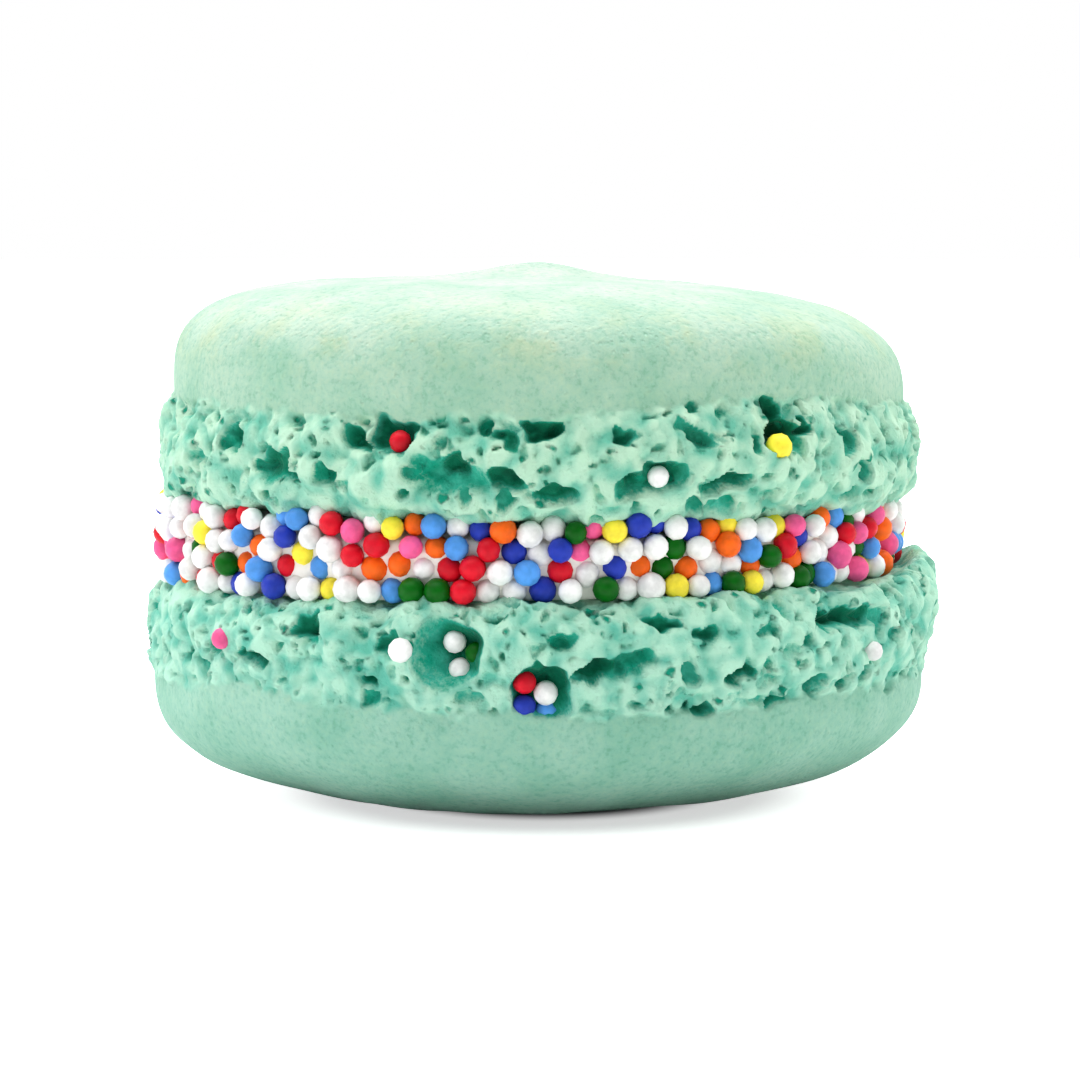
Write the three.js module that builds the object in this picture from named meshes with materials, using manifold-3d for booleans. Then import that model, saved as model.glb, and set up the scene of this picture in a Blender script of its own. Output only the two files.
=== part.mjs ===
// A mint-green sandwich macaron: two almond meringue shells, each with a smooth cap and a porous foot, round
// a white cream filling whose edge is rolled in coloured nonpareils. Millimetres, +Z up, the front faces -Y.
// The origin is on the ground, under the middle of the macaron's bounding box.
import * as THREE from "three";
import { mergeVertices } from "three/addons/utils/BufferGeometryUtils.js";
import Module from "manifold-3d";

// Driving dimensions of the two shells. Each is modelled with its inner face on z = 0 and its cap upwards.
const UPPER = {
  name: "upper_shell",
  capRadius: 22.0,
  capHeight: 7.1,
  capPower: 3.75, // exponent of the cap's superellipse: a higher one has a flatter top and a squarer shoulder
  capLean: 0.014, // how much lower the cap's top is for each mm to the right
  borderLean: 0, // the same for the line between cap and foot
  nippleHeight: 1.1,
  footRadius: 22.9,
  footHeight: 6.05,
  footShift: 0.25, // how far the foot's widest line lies to the right
  edgeRadius: 20.9,
  edgeShift: -0.5, // the same for the edge of the inner face
  flatRadius: 0,
  centreX: 0.0,
  contactZ: 17.75, // height of the inner face above the ground, on the axis
  tiltDeg: 0.6, // the right-hand side lies lower
  flipped: false,
  // Where the line between cap and foot leaves its mean height: angle round the axis, spread and rise.
  swells: [
    { at: -50, spread: 24, rise: 0.95 },
    { at: -122, spread: 30, rise: -0.5 },
  ],
  slump: { at: 0, spread: 50, depth: 0.6 }, // where one side of the cap's shoulder has sunk
  seed: 11,
};
// The lower shell's inner face rises to the right while its cap stands level, so both leans undo the tilt.
const LOWER_TILT_DEG = -0.9;
const LOWER = {
  name: "lower_shell",
  capRadius: 23.2,
  capHeight: 7.6, // down to the full dome, which the flat spot cuts short
  capPower: 2.8,
  capLean: Math.tan(THREE.MathUtils.degToRad(LOWER_TILT_DEG)),
  borderLean: Math.tan(THREE.MathUtils.degToRad(LOWER_TILT_DEG)),
  nippleHeight: 0,
  footRadius: 23.7,
  footHeight: 5.95,
  footShift: 0.5,
  edgeRadius: 21.6,
  edgeShift: 0,
  flatRadius: 7.0, // the flat spot that the macaron stands on
  centreX: -0.05,
  contactZ: 13.45,
  tiltDeg: LOWER_TILT_DEG,
  flipped: true,
  swells: [
    { at: 136, spread: 12, rise: -0.7 },
    { at: 44, spread: 16, rise: -0.3 },
  ],
  slump: { at: 40, spread: 45, depth: 0.6 },
  seed: 23,
};
const NIPPLE_RADIUS = 4.2;
const BULGE_SHARE = 0.45; // height of a foot's widest line, as a share of the foot's height
const CONTACT_GAP = 0.06; // between the filling and each shell

// The filling: a cream disc that leans out to the left, with nonpareils pressed into its wall.
const CREAM_RADIUS = 21.4;
const CREAM_CENTRE_X = -0.45;
const CREAM_SIDES = 36;
const BEAD_COUNT = 264;
const BEAD_SMALLEST = 1.2;
const BEAD_LARGEST = 1.62;
const BEAD_OUT_LEAST = 0.0; // how far a nonpareil's centre stands out of the wall, in mm
const BEAD_OUT_MOST = 0.5;
const BEAD_SEED = 5;
const RELAX_ROUNDS = 60;

// Relief of the foot.
const COLUMNS = 64;
const CRAG_HEIGHT = 0.42;
const FURTHER_CAVITIES = 18; // tried all round; those that would meet a listed one are left out
const PORE_SEED = 71;

// Cavities in the front of each foot: across is measured from the axis to the right, up is the height above
// the ground, and wide, high and deep are the size of the opening. Slant turns it, in degrees.
const UPPER_CAVITIES = [
  { across: 0.3, up: 23.0, wide: 2.3, high: 1.2, deep: 2.0, slant: 0 },
  { across: -2.0, up: 22.4, wide: 1.5, high: 0.9, deep: 1.3, slant: -25 },
  { across: -5.0, up: 21.1, wide: 4.6, high: 2.4, deep: 1.1, slant: -8 },
  { across: -1.6, up: 20.2, wide: 2.2, high: 1.2, deep: 2.3, slant: -12 },
  { across: 1.0, up: 19.4, wide: 2.7, high: 1.1, deep: 1.8, slant: 5 },
  { across: -8.2, up: 22.8, wide: 2.6, high: 2.2, deep: 1.8, slant: -20 },
  { across: -10.2, up: 22.3, wide: 2.4, high: 1.0, deep: 1.4, slant: -32 },
  { across: -15.0, up: 20.7, wide: 2.9, high: 1.8, deep: 1.3, slant: 12 },
  { across: -17.6, up: 22.3, wide: 1.7, high: 1.4, deep: 1.3, slant: -40 },
  { across: 13.5, up: 22.6, wide: 2.1, high: 1.8, deep: 2.7, slant: 0 },
  { across: 13.0, up: 23.9, wide: 1.0, high: 1.9, deep: 2.3, slant: 8 },
  { across: 14.7, up: 22.8, wide: 2.3, high: 0.8, deep: 2.3, slant: 8 },
  { across: 6.4, up: 20.1, wide: 4.6, high: 1.7, deep: 1.4, slant: 12 },
  { across: 10.5, up: 20.2, wide: 3.2, high: 1.3, deep: 2.0, slant: 8 },
  { across: 4.4, up: 22.7, wide: 1.0, high: 1.0, deep: 1.2, slant: 0 },
  { across: 9.6, up: 22.4, wide: 2.2, high: 1.2, deep: 1.0, slant: -30 },
];
const LOWER_CAVITIES = [
  { across: -5.0, up: 10.8, wide: 3.7, high: 3.9, deep: 2.8, slant: 0 },
  { across: 0.1, up: 8.5, wide: 3.2, high: 3.2, deep: 2.0, slant: 0 },
  { across: -8.5, up: 11.4, wide: 1.5, high: 1.9, deep: 1.3, slant: 30 },
  { across: -13.2, up: 12.3, wide: 2.4, high: 1.3, deep: 1.8, slant: 0 },
  { across: -16.4, up: 10.8, wide: 2.4, high: 0.9, deep: 1.6, slant: -15 },
  { across: 4.0, up: 10.3, wide: 4.6, high: 1.5, deep: 1.8, slant: 16 },
  { across: 3.7, up: 11.7, wide: 1.7, high: 1.3, deep: 1.1, slant: 0 },
  { across: 9.0, up: 12.0, wide: 1.4, high: 0.9, deep: 1.3, slant: 0 },
  { across: 6.7, up: 12.5, wide: 2.4, high: 0.8, deep: 1.1, slant: -15 },
  { across: 16.9, up: 12.7, wide: 5.0, high: 1.4, deep: 1.9, slant: 3 },
  { across: 11.0, up: 9.6, wide: 2.6, high: 1.0, deep: 1.9, slant: 8 },
  { across: 13.1, up: 8.3, wide: 1.7, high: 1.0, deep: 1.6, slant: 14 },
  { across: 8.8, up: 8.3, wide: 1.2, high: 1.3, deep: 1.4, slant: 20 },
  { across: 15.5, up: 9.4, wide: 1.9, high: 1.3, deep: 1.1, slant: 12 },
];

// Loose nonpareils that sit in the cavities: place as above, and how far in from the foot's outline.
const UPPER_STRAYS = [
  { across: -7.8, up: 22.3, inside: 0.9 },
  { across: 13.3, up: 22.0, inside: 0.9 },
  { across: 6.8, up: 20.4, inside: 0.8 },
];
const LOWER_STRAYS = [
  { across: -7.5, up: 10.8, inside: 0.2 },
  { across: -4.5, up: 11.2, inside: 1.9 },
  { across: -3.6, up: 10.5, inside: 2.1 },
  { across: -4.2, up: 9.8, inside: 1.9 },
  { across: -0.7, up: 9.2, inside: 1.3 },
  { across: 0.5, up: 8.6, inside: 1.7 },
  { across: -0.7, up: 7.9, inside: 1.2 },
  { across: 0.5, up: 7.6, inside: 1.3 },
  { across: -18.0, up: 10.8, inside: 0.4 },
  { across: 19.0, up: 10.0, inside: 0.3 },
];
const STRAY_DIAMETER = 1.3;

// Materials.
const mint = new THREE.MeshStandardMaterial({ color: 0xa9d9bd, roughness: 0.85, metalness: 0 });
const mintShade = new THREE.MeshStandardMaterial({ color: 0x9fd3b8, roughness: 0.85, metalness: 0 });
const rolledCream = new THREE.MeshStandardMaterial({ color: 0xf6f0e6, roughness: 0.5, metalness: 0 });

const wasm = await Module();
wasm.setup();

// A repeatable stream of numbers from 0 to 1 (the mulberry32 rule).
function randomStream(seed) {
  let state = seed >>> 0;
  return () => {
    state = (state + 0x6d2b79f5) >>> 0;
    let t = Math.imul(state ^ (state >>> 15), state | 1);
    t = (t ^ (t + Math.imul(t ^ (t >>> 7), t | 61))) >>> 0;
    return ((t ^ (t >>> 14)) >>> 0) / 4294967296;
  };
}

const smooth = (t) => t * t * (3 - 2 * t);
const clamp = (x, low, high) => Math.min(high, Math.max(low, x));

// A slow wobble of an outline round the axis, from -1 to 1: three waves whose phases come from the seed.
function wobble(angle, seed) {
  return (
    0.5 * Math.sin(2 * angle + seed) +
    0.3 * Math.sin(3 * angle + 2.3 * seed) +
    0.2 * Math.sin(5 * angle + 3.7 * seed)
  );
}

// A bell curve round the axis: 1 at an angle in degrees, and falling off over the spread.
function bell(angle, at, spread) {
  const away = THREE.MathUtils.euclideanModulo(THREE.MathUtils.radToDeg(angle) - at + 180, 360) - 180;
  return Math.exp(-((away / spread) ** 2));
}

// How far one side of the cap's shoulder has sunk.
const slumpOf = ({ slump }, angle) => slump.depth * bell(angle, slump.at, slump.spread);

// Height of the line between cap and foot: it runs a little up and down round the shell.
function borderHeight(shell, angle) {
  const swell = shell.swells.reduce((sum, { at, spread, rise }) => sum + rise * bell(angle, at, spread), 0);
  const lean = shell.borderLean * shell.capRadius * Math.cos(angle);
  return shell.footHeight - lean + swell + 0.15 * wobble(angle, shell.seed + 1);
}

// Radius of the foot at a height above the inner face: a bulge above its widest line, and an elliptic curl
// below it down to the edge of the inner face.
function footRadiusAt(shell, z) {
  const widest = BULGE_SHARE * shell.footHeight;
  if (z >= widest) {
    const share = (z - widest) / (shell.footHeight - widest);
    return shell.footRadius - (shell.footRadius - shell.capRadius) * share * share;
  }
  const share = (widest - z) / widest;
  const curl = shell.footRadius - shell.edgeRadius;
  return shell.edgeRadius + curl * Math.sqrt(Math.max(0, 1 - share * share));
}

// A point of a ring on the cap. Share runs from 0 at the border to 1 at the pole, by angle round the
// superellipse, and a nipple rises in the middle of the top.
function capPoint(shell, angle, share) {
  const turn = (share * Math.PI) / 2;
  const power = 2 / shell.capPower;
  const wide = Math.pow(Math.max(0, Math.cos(turn)), power);
  const tall = Math.pow(Math.max(0, Math.sin(turn)), power);
  const border = borderHeight(shell, angle);
  const top = shell.footHeight + shell.capHeight;
  const radius = shell.capRadius * wide * (1 + 0.008 * wobble(angle, shell.seed));
  const nipple = shell.nippleHeight * Math.exp(-((radius / NIPPLE_RADIUS) ** 2));
  const lean = shell.capLean * radius * Math.cos(angle);
  const sunk = slumpOf(shell, angle) * Math.sin(Math.PI * tall);
  const rounded = border + (top - lean - border) * tall + nipple - sunk;
  const flat = top - lean - flatDepth(shell);
  return { radius, z: shell.flatRadius > 0 ? Math.min(rounded, flat) : rounded };
}

// How much of the cap's height the flat spot takes off.
function flatDepth(shell) {
  const share = (shell.flatRadius / shell.capRadius) ** shell.capPower;
  return shell.capHeight * (1 - Math.pow(1 - share, 1 / shell.capPower));
}

// Crags of the foot, from -1 to 1: waves round the axis that turn as they go up, at sizes of 2 to 5 mm.
function crags(angle, z, seed) {
  const a = Math.sin(29 * angle + 1.3 * z + seed) * Math.sin(1.9 * z + 0.7 * seed + 4 * angle);
  const b = Math.sin(47 * angle - 1.7 * z + 2 * seed) * Math.cos(2.6 * z - seed);
  const c = Math.sin(13 * angle + 0.8 * z + 3 * seed);
  return 0.45 * a + 0.3 * b + 0.25 * c;
}

// A closed mesh from rings of points. Neighbouring rings have the same number of points, or one has half as
// many as the other, and a single point closes each end.
function meshOfRings(rings) {
  const positions = [];
  const starts = rings.map((ring) => {
    const start = positions.length / 3;
    ring.forEach((p) => positions.push(p.x, p.y, p.z));
    return start;
  });
  const faces = [];
  for (let r = 0; r + 1 < rings.length; r++) {
    const [above, below] = [rings[r].length, rings[r + 1].length];
    const [a, b] = [starts[r], starts[r + 1]];
    if (above === 1) {
      for (let i = 0; i < below; i++) faces.push(a, b + i, b + ((i + 1) % below));
    } else if (below === 1) {
      for (let i = 0; i < above; i++) faces.push(a + i, b, a + ((i + 1) % above));
    } else if (above === below) {
      for (let i = 0; i < above; i++) {
        const next = (i + 1) % above;
        faces.push(a + i, b + i, b + next, a + i, b + next, a + next);
      }
    } else if (below === 2 * above) {
      for (let i = 0; i < above; i++) {
        const [low, mid, high, next] = [2 * i, 2 * i + 1, (2 * i + 2) % below, (i + 1) % above];
        faces.push(a + i, b + low, b + mid, a + i, b + mid, a + next, a + next, b + mid, b + high);
      }
    } else {
      throw new Error("neighbouring rings don't match");
    }
  }
  const geometry = new THREE.BufferGeometry();
  geometry.setAttribute("position", new THREE.Float32BufferAttribute(positions, 3));
  geometry.setIndex(faces);
  return geometry;
}

function ringOf(count, pointAt) {
  return Array.from({ length: count }, (_, i) => {
    const angle = (2 * Math.PI * i) / count;
    const { radius, z } = pointAt(angle);
    return new THREE.Vector3(radius * Math.cos(angle), radius * Math.sin(angle), z);
  });
}

// The whole outside of a shell without its cavities: pole, cap, craggy foot and flat inner face.
function shellSkin(shell) {
  const top = shell.footHeight + shell.capHeight;
  const poleZ = shell.flatRadius > 0 ? top - flatDepth(shell) : top + shell.nippleHeight;
  const rings = [[new THREE.Vector3(0, 0, poleZ)]];
  const capRings = [
    [COLUMNS / 4, 0.965],
    [COLUMNS / 4, 0.9],
    [COLUMNS / 2, 0.78],
    [COLUMNS / 2, 0.64],
    [COLUMNS, 0.5],
    [COLUMNS, 0.36],
    [COLUMNS, 0.23],
    [COLUMNS, 0.1],
  ];
  for (const [count, share] of capRings) rings.push(ringOf(count, (angle) => capPoint(shell, angle, share)));
  const footRows = 6;
  for (let row = 0; row <= footRows; row++) {
    const down = row / footRows;
    rings.push(
      ringOf(COLUMNS, (angle) => {
        const z = borderHeight(shell, angle) * (1 - smooth(down) * 0.15 - down * 0.85);
        const rough = CRAG_HEIGHT * Math.sin(Math.PI * clamp(down * 1.1, 0, 1)) * crags(angle, z, shell.seed);
        const shift = shell.footShift * Math.sin(Math.PI * down) + shell.edgeShift * down ** 2;
        const even = footRadiusAt(shell, z) * (1 + 0.008 * wobble(angle, shell.seed));
        return { radius: even + shift * Math.cos(angle) + rough, z };
      }),
    );
  }
  rings.push([new THREE.Vector3(0, 0, 0)]);
  return meshOfRings(rings);
}

function solidOf(geometry) {
  const bare = geometry.clone();
  bare.deleteAttribute("normal");
  bare.deleteAttribute("uv");
  const merged = mergeVertices(bare, 1e-4);
  return new wasm.Manifold(
    new wasm.Mesh({
      numProp: 3,
      vertProperties: new Float32Array(merged.attributes.position.array),
      triVerts: new Uint32Array(merged.index.array),
    }),
  );
}

function geometryOf(solid) {
  const mesh = solid.getMesh();
  const geometry = new THREE.BufferGeometry();
  geometry.setAttribute("position", new THREE.BufferAttribute(new Float32Array(mesh.vertProperties), 3));
  geometry.setIndex(new THREE.BufferAttribute(new Uint32Array(mesh.triVerts), 1));
  return geometry;
}

// Carries a shell from its own frame to where it lies in the macaron.
function placeOf(shell) {
  const turn = shell.flipped ? Math.PI : 0;
  const tilt = THREE.MathUtils.degToRad(shell.tiltDeg);
  return new THREE.Matrix4()
    .makeTranslation(shell.centreX, 0, shell.contactZ)
    .multiply(new THREE.Matrix4().makeRotationY(tilt))
    .multiply(new THREE.Matrix4().makeRotationX(turn));
}

// The angle and height, in a shell's own frame, of a place that is given across and up on its front.
function onFoot(shell, { across, up }) {
  const reach = clamp((across - shell.centreX) / shell.footRadius, -0.98, 0.98);
  const lateral = shell.footRadius * reach;
  const depth = -Math.sqrt(shell.footRadius ** 2 - lateral ** 2);
  const local = new THREE.Vector3(across, depth, up).applyMatrix4(placeOf(shell).invert());
  return { angle: Math.atan2(local.y, local.x), z: local.z };
}

// Scoops out a cavity: a faceted ellipsoid whose middle lies on the foot's outline. Its slant looks the same
// on the flipped shell, because flipping turns both of the opening's directions round.
function scoop(shell, shape, { angle, z, wide, high, deep, slant }) {
  const matrix = new THREE.Matrix4()
    .makeRotationZ(angle)
    .setPosition(footRadiusAt(shell, z) * Math.cos(angle), footRadiusAt(shell, z) * Math.sin(angle), z)
    .multiply(new THREE.Matrix4().makeRotationX(THREE.MathUtils.degToRad(slant)))
    .multiply(new THREE.Matrix4().makeScale(deep * 1.05, wide * 0.58, high * 0.58));
  return solidOf(shape.applyMatrix4(matrix));
}

// Cavities for the rest of the foot, spread evenly by a low-discrepancy rule and varied by the seeded draw.
function furtherCavities(shell, listed) {
  const draw = randomStream(PORE_SEED + shell.seed);
  const tried = Array.from({ length: FURTHER_CAVITIES }, (_, i) => ({
    angle: 2 * Math.PI * (((i + 1) * 0.7548776662) % 1),
    z: shell.footHeight * (0.2 + 0.68 * (((i + 1) * 0.5698402909) % 1)),
    wide: 1.5 + 2.3 * draw() ** 1.6,
    high: 1.0 + 0.9 * draw(),
    deep: 1.0 + 1.1 * draw(),
    slant: 50 * (draw() - 0.5),
  }));
  const meets = (a, b) => {
    const turn = Math.atan2(Math.sin(a.angle - b.angle), Math.cos(a.angle - b.angle));
    const across = Math.abs(turn) * shell.footRadius;
    return across < 0.6 * (a.wide + b.wide) && Math.abs(a.z - b.z) < 0.6 * (a.high + b.high);
  };
  return tried.filter((cavity) => !listed.some((other) => meets(cavity, other)));
}

// A nonpareil: a five-sided ball whose point faces outwards, given a spin of its own.
function bead(diameter, place, spin) {
  const shape = new THREE.SphereGeometry(diameter / 2, 5, 3);
  shape.rotateZ(-Math.PI / 2).rotateX(spin).rotateZ(Math.atan2(place.y, place.x));
  shape.translate(place.x, place.y, place.z);
  return solidOf(shape);
}

function strayBeads(shell, strays) {
  return strays.map((stray, i) => {
    const { angle, z } = onFoot(shell, stray);
    const radius = footRadiusAt(shell, z) - stray.inside;
    const place = new THREE.Vector3(radius * Math.cos(angle), radius * Math.sin(angle), z);
    return bead(STRAY_DIAMETER, place, i);
  });
}

function shellMesh(shell, cavities, strays, material) {
  const listed = cavities.map((cavity) => ({ ...cavity, ...onFoot(shell, cavity) }));
  const cutters = [
    ...listed.map((cavity) => scoop(shell, new THREE.IcosahedronGeometry(1, 0), cavity)),
    ...furtherCavities(shell, listed).map((cavity) =>
      scoop(shell, new THREE.OctahedronGeometry(1.1, 0), cavity),
    ),
  ];
  let solid = solidOf(shellSkin(shell)).subtract(wasm.Manifold.union(cutters));
  solid = solid.add(wasm.Manifold.union(strayBeads(shell, strays)));
  const mesh = new THREE.Mesh(geometryOf(solid), material);
  mesh.name = shell.name;
  mesh.applyMatrix4(placeOf(shell));
  return mesh;
}

// Height of a shell's inner face at a place across the macaron.
function contactHeight(shell, x) {
  return shell.contactZ - Math.tan(THREE.MathUtils.degToRad(shell.tiltDeg)) * (x - shell.centreX);
}

// The filling's lower face and its thickness: a wedge, because the two inner faces aren't parallel.
const fillingLow = (x) => contactHeight(LOWER, x) + CONTACT_GAP;
const fillingThickness = (x) => contactHeight(UPPER, x) - CONTACT_GAP - fillingLow(x);

// Places of the nonpareils on the filling's wall: arc length round it, height above its lower face, and how
// far out of it. They start evenly spread, the larger ones mostly low down. Then in each round every two
// that overlap push each other apart, and all of them move at once.
function beadPlaces() {
  const draw = randomStream(BEAD_SEED);
  const length = 2 * Math.PI * CREAM_RADIUS;
  const xAt = (along) => CREAM_CENTRE_X + CREAM_RADIUS * Math.cos(along / CREAM_RADIUS);
  const heightAt = (along) => fillingThickness(xAt(along));
  const beads = Array.from({ length: BEAD_COUNT }, (_, i) => {
    const along = length * ((0.5 + (i + 1) * 0.7548776662) % 1);
    const share = (0.5 + (i + 1) * 0.5698402909) % 1;
    const diameter = BEAD_SMALLEST + (BEAD_LARGEST - BEAD_SMALLEST) * (0.65 * draw() + 0.35 * (1 - share));
    const out = BEAD_OUT_LEAST + (BEAD_OUT_MOST - BEAD_OUT_LEAST) * draw();
    return { along, up: share * heightAt(along), out, diameter };
  });
  for (let round = 0; round < RELAX_ROUNDS; round++) {
    const moves = beads.map(() => [0, 0, 0]);
    for (let i = 0; i < beads.length; i++) {
      for (let j = i + 1; j < beads.length; j++) {
        const [a, b] = [beads[i], beads[j]];
        const across = ((b.along - a.along + 1.5 * length) % length) - 0.5 * length;
        const away = [across, b.up - a.up, b.out - a.out];
        const apart = Math.hypot(...away);
        const wanted = 0.5 * (a.diameter + b.diameter);
        if (apart >= wanted || apart < 1e-9) continue;
        const push = (0.25 * (wanted - apart)) / apart;
        away.forEach((part, k) => {
          moves[i][k] -= push * part;
          moves[j][k] += push * part;
        });
      }
    }
    beads.forEach((b, i) => {
      b.along = (b.along + moves[i][0] + length) % length;
      b.up = clamp(b.up + moves[i][1], 0.5 * b.diameter, heightAt(b.along) - 0.5 * b.diameter);
      b.out = clamp(b.out + moves[i][2], BEAD_OUT_LEAST, BEAD_OUT_MOST);
    });
  }
  return beads;
}

// The cream with its nonpareils, round the filling's own axis.
function fillingMesh() {
  const xAt = (angle, radius) => CREAM_CENTRE_X + radius * Math.cos(angle);
  const lowAt = (angle, radius) => fillingLow(xAt(angle, radius));
  const highAt = (angle, radius) => lowAt(angle, radius) + fillingThickness(xAt(angle, radius));
  const rim = (heightAt) =>
    ringOf(CREAM_SIDES, (angle) => ({ radius: CREAM_RADIUS, z: heightAt(angle, CREAM_RADIUS) }));
  const [above, below] = [highAt, lowAt].map((heightAt) => [new THREE.Vector3(0, 0, heightAt(0, 0))]);
  const cream = solidOf(meshOfRings([above, rim(highAt), rim(lowAt), below]));
  const balls = beadPlaces().map((b, i) => {
    const angle = b.along / CREAM_RADIUS;
    const radius = CREAM_RADIUS + b.out;
    const z = lowAt(angle, CREAM_RADIUS) + b.up;
    const place = new THREE.Vector3(radius * Math.cos(angle), radius * Math.sin(angle), z);
    return bead(b.diameter, place, 2.4 * i);
  });
  const mesh = new THREE.Mesh(geometryOf(cream.add(wasm.Manifold.union(balls))), rolledCream);
  mesh.name = "filling";
  mesh.position.x = CREAM_CENTRE_X;
  return mesh;
}

// Puts the origin on the ground under the middle of the bounding box.
function centred(group) {
  const box = new THREE.Box3().setFromObject(group, true);
  const middle = box.getCenter(new THREE.Vector3());
  group.position.set(-middle.x, -middle.y, -box.min.z);
  return group;
}

const macaron = new THREE.Group();
macaron.name = "macaron";
macaron.add(shellMesh(LOWER, LOWER_CAVITIES, LOWER_STRAYS, mintShade));
macaron.add(fillingMesh());
macaron.add(shellMesh(UPPER, UPPER_CAVITIES, UPPER_STRAYS, mint));

export default centred(macaron);
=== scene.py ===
import math

import bpy
import numpy as np
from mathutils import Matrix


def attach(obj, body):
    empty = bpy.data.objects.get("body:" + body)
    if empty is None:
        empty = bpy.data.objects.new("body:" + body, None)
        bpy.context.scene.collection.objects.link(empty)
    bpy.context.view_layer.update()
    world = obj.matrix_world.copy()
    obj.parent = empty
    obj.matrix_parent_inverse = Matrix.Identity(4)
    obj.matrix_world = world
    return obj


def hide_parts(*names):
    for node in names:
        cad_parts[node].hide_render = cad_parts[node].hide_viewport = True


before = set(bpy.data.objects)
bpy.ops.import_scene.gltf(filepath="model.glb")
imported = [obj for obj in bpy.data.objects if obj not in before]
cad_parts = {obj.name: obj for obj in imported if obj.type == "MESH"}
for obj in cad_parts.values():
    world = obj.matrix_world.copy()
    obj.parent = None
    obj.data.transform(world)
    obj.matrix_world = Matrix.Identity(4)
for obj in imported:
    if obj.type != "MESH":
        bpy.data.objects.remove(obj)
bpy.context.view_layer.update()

# Sizes are in millimetres and turned into metres when a mesh is made. Two meringue shells, each made with its
# inner face on z = 0 and its cap upwards, lie round a rolled cream filling. Their main sizes are the CAD
# model's. The nonpareils, the lower shell's lip and softer slump, and the cavities' exact places are the
# scene's own, set against the photograph.
MM = 0.001
AXIS_X = -0.49  # the macaron's axis lies this far from the middle of its bounding box

UPPER = dict(
    name="upper_shell",
    cap_radius=22.0,
    cap_height=7.1,
    cap_power=3.75,
    cap_lean=0.014,
    border_lean=0.0,
    nipple_height=1.1,
    foot_radius=22.9,
    foot_height=6.05,
    foot_shift=0.25,
    edge_radius=20.9,
    edge_shift=-0.5,
    flat_radius=0.0,
    lip=0.0,
    centre_x=0.0,
    contact_z=17.75,
    tilt=math.radians(0.6),
    flipped=False,
    swells=[(-50, 24, 0.95), (-122, 30, -0.5)],
    slump=(0, 50, 0.6),
    seed=11,
)
LOWER_TILT = math.radians(-0.9)
LOWER = dict(
    name="lower_shell",
    cap_radius=23.2,
    cap_height=7.6,
    cap_power=2.8,
    cap_lean=math.tan(LOWER_TILT),
    border_lean=math.tan(LOWER_TILT),
    nipple_height=0.0,
    foot_radius=23.7,
    foot_height=5.95,
    foot_shift=0.5,
    edge_radius=21.6,
    edge_shift=0.0,
    flat_radius=7.0,
    lip=1.5,
    centre_x=-0.05,
    contact_z=13.45,
    tilt=LOWER_TILT,
    flipped=True,
    swells=[(136, 12, -0.7), (44, 16, -0.3)],
    slump=(40, 45, 0.3),
    seed=23,
)
NIPPLE_RADIUS = 4.2
BULGE_SHARE = 0.45  # height of a foot's widest line, as a share of the foot's height
CONTACT_GAP = 0.06
LIP_SPREAD = 0.55  # how far round the right side the lip fades out, in radians
LIP_START, LIP_END = 21.9, 23.3  # radii between which it grows

CREAM_RADIUS = 21.4
CREAM_CENTRE_X = -0.45
BEAD_COUNT = 396
BEAD_SMALLEST, BEAD_LARGEST = 1.28, 1.66
BEAD_OUT_LEAST, BEAD_OUT_MOST = -0.1, 0.5
BEAD_SEED, COLOUR_SEED, TINT_SEED = 5, 77, 500
RELAX_ROUNDS = 140

# Cavities in the front of each foot, in mm: place across from the axis, height above the ground, width,
# height and depth of the opening, and its slant in degrees.
UPPER_CAVITIES = [
    (0.3, 23.0, 2.3, 1.2, 2.0, 0),
    (-1.7, 22.4, 1.6, 0.7, 1.2, -20),
    (-4.9, 20.5, 4.6, 2.0, 0.75, -8),
    (-4.55, 20.95, 1.9, 1.5, 1.6, 0),
    (-1.6, 20.2, 2.2, 1.2, 2.3, -12),
    (1.0, 19.4, 2.7, 1.1, 1.8, 5),
    (-8.2, 22.8, 2.6, 2.2, 1.8, -20),
    (-10.2, 22.3, 2.4, 1.0, 1.4, -32),
    (-15.0, 20.7, 2.9, 1.8, 1.3, 12),
    (-17.6, 22.3, 1.7, 1.4, 1.3, -40),
    (13.8, 22.5, 2.2, 1.9, 2.7, 0),
    (13.6, 23.9, 1.1, 1.9, 2.3, 0),
    (14.9, 22.8, 2.3, 0.8, 2.3, 8),
    (12.3, 22.0, 0.8, 0.9, 0.9, 0),
    (14.7, 21.9, 1.2, 0.9, 0.8, 30),
    (5.6, 19.8, 3.2, 1.5, 1.2, 14),
    (7.2, 20.5, 2.6, 1.5, 1.4, -10),
    (10.7, 19.75, 3.4, 1.2, 2.0, 12),
    (4.8, 22.6, 1.0, 0.9, 1.2, 0),
    (8.7, 22.6, 2.4, 0.9, 1.0, -35),
    (-11.9, 20.2, 1.4, 1.4, 1.0, 0),
]
LOWER_CAVITIES = [
    (-5.0, 10.8, 3.8, 3.9, 2.6, 0),
    (0.1, 8.5, 3.2, 3.2, 2.0, 0),
    (-8.2, 11.1, 1.5, 1.8, 1.3, 30),
    (-13.1, 12.0, 2.2, 1.2, 1.8, 0),
    (-16.4, 9.85, 2.2, 0.8, 1.9, -12),
    (3.2, 9.75, 2.6, 1.1, 2.3, 12),
    (5.1, 10.1, 3.2, 1.3, 1.0, 20),
    (1.3, 11.4, 1.7, 1.3, 1.0, 0),
    (9.35, 11.8, 1.3, 0.8, 1.4, 0),
    (7.0, 12.4, 2.4, 0.65, 1.3, -15),
    (17.6, 12.1, 5.0, 1.3, 1.9, 0),
    (11.3, 9.3, 2.6, 0.9, 1.9, 8),
    (13.6, 7.45, 1.7, 0.9, 1.7, 14),
    (9.4, 7.1, 1.3, 1.3, 1.4, 20),
    (15.9, 8.5, 1.9, 1.2, 1.1, 12),
]
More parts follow.
